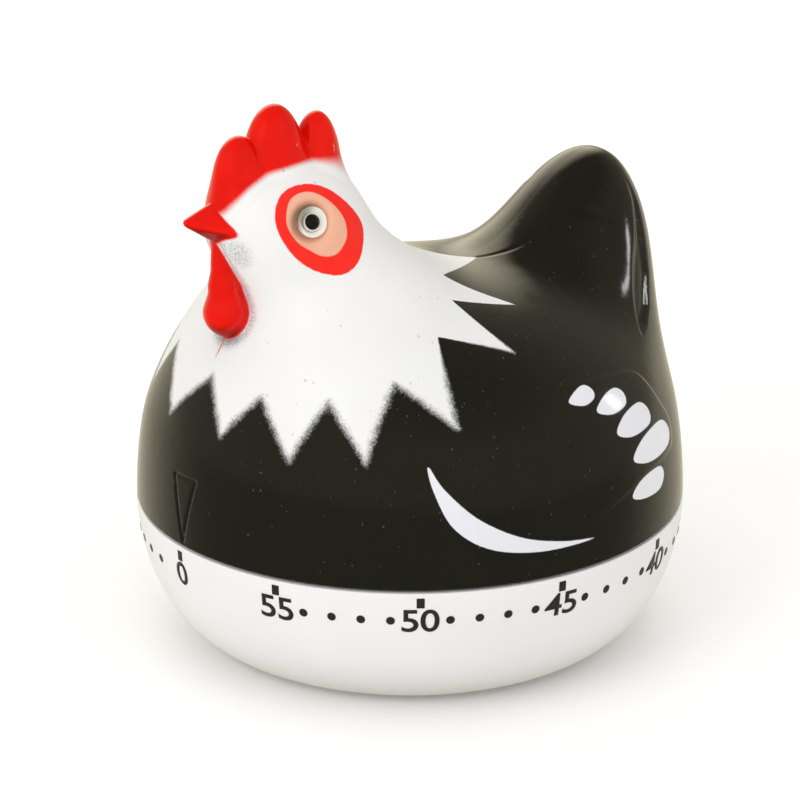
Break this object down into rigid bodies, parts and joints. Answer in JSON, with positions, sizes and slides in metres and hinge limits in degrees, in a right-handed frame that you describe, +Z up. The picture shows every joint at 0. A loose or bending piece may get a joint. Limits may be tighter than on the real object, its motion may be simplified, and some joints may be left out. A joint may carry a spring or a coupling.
{
  "type": "kitchen timer",
  "caption": "Hen-shaped wind-up kitchen timer: the hen turns on a white bowl with a minute dial, winds the clockwork inside and rings a bell at zero.",
  "frame": {"origin": "on the resting plane, on the axis about which the hen turns", "axes": "+Z up, the hen faces -Y at zero on the dial, its left side towards +X"},
  "size_m": [0.071, 0.0715, 0.0732],
  "materials": {
    "bowl_white": "white moulded plastic with a printed minute dial",
    "cover_white": "white moulded plastic, fine matt underside",
    "screw_steel": "zinc-plated steel screws",
    "plate_steel": "rolled steel sheet",
    "arbor_steel": "turned steel",
    "bell_metal": "polished bell metal",
    "spring_steel": "blued spring steel",
    "shell_paint": "glossy black and white sprayed plastic with red comb, beak and wattle",
    "eye_pearl": "pearl-white bead",
    "pupil_black": "glossy black insert",
    "hub_plastic": "plain white moulded plastic",
    "wheel_brass": "stamped brass",
    "lever_steel": "hardened steel sheet"
  },
  "bodies": {
    "base": {"base_bowl": "bowl_white", "base_cover": "cover_white", "cover_screws": "screw_steel", "lower_plate": "plate_steel", "upper_plate": "plate_steel", "plate_pillars": "arbor_steel", "pillar_screws": "screw_steel", "movement_screws": "screw_steel", "bell": "bell_metal", "bell_post": "arbor_steel", "bell_screw": "screw_steel", "mainspring": "spring_steel"},
    "hen": {"hen_shell_left": "shell_paint", "hen_shell_right": "shell_paint", "eye_left": "eye_pearl", "eye_right": "eye_pearl", "pupil_left": "pupil_black", "pupil_right": "pupil_black", "hub_plate": "hub_plastic", "hub_screws": "screw_steel", "arbor_screw": "screw_steel", "main_arbor": "arbor_steel", "great_wheel": "wheel_brass", "ratchet_wheel": "lever_steel", "cam_disc": "wheel_brass", "click_spring": "spring_steel"},
    "click_body": {"click": "lever_steel"},
    "second_train": {"second_arbor": "arbor_steel", "second_wheel": "wheel_brass", "star_wheel": "lever_steel"},
    "third_train": {"third_arbor": "arbor_steel", "third_wheel": "wheel_brass"},
    "escape_train": {"escape_arbor": "arbor_steel", "escape_wheel": "wheel_brass"},
    "anchor": {"anchor_arbor": "arbor_steel", "pallet_anchor": "lever_steel", "inertia_bar": "wheel_brass"},
    "hammer_body": {"hammer_arbor": "arbor_steel", "hammer": "lever_steel", "hammer_tail": "lever_steel"},
    "alarm": {"alarm_arbor": "arbor_steel", "alarm_lever": "lever_steel"}
  },
  "joints": [
    {"name": "dial_turn", "type": "hinge", "parent": "base", "child": "hen", "pos_m": [0, 0, 0.02], "axis": [0, 0, 1], "range_deg": [-330, 0], "deforming": ["mainspring"]},
    {"name": "second_spin", "type": "hinge", "parent": "base", "child": "second_train", "pos_m": [0.0153, 0, 0.02], "axis": [0, 0, 1], "continuous": true},
    {"name": "third_spin", "type": "hinge", "parent": "base", "child": "third_train", "pos_m": [0.01369, 0.01007, 0.02], "axis": [0, 0, 1], "continuous": true},
    {"name": "escape_spin", "type": "hinge", "parent": "base", "child": "escape_train", "pos_m": [0.00815, 0.01716, 0.02], "axis": [0, 0, 1], "continuous": true},
    {"name": "anchor_swing", "type": "hinge", "parent": "base", "child": "anchor", "pos_m": [0.00159, 0.01893, 0.02], "axis": [0, 0, 1], "range_deg": [-5, 5]},
    {"name": "hammer_swing", "type": "hinge", "parent": "base", "child": "hammer_body", "pos_m": [0.01677, -0.01089, 0.02], "axis": [0, 0, 1], "range_deg": [-2.8, 8]},
    {"name": "alarm_lever_swing", "type": "hinge", "parent": "base", "child": "alarm", "pos_m": [-0.01879, 0.00684, 0.02], "axis": [0, 0, 1], "range_deg": [0, 6]},
    {"name": "click_pivot", "type": "hinge", "parent": "hen", "child": "click_body", "pos_m": [0, 0.0086, 0.02], "axis": [0, 0, 1], "range_deg": [0, 10], "deforming": ["click_spring"]}
  ],
  "couplings": [
    {"joint": "second_spin", "follows": "dial_turn", "ratio": -7.5},
    {"joint": "third_spin", "follows": "dial_turn", "ratio": 56.25},
    {"joint": "escape_spin", "follows": "dial_turn", "ratio": -450}
  ]
}
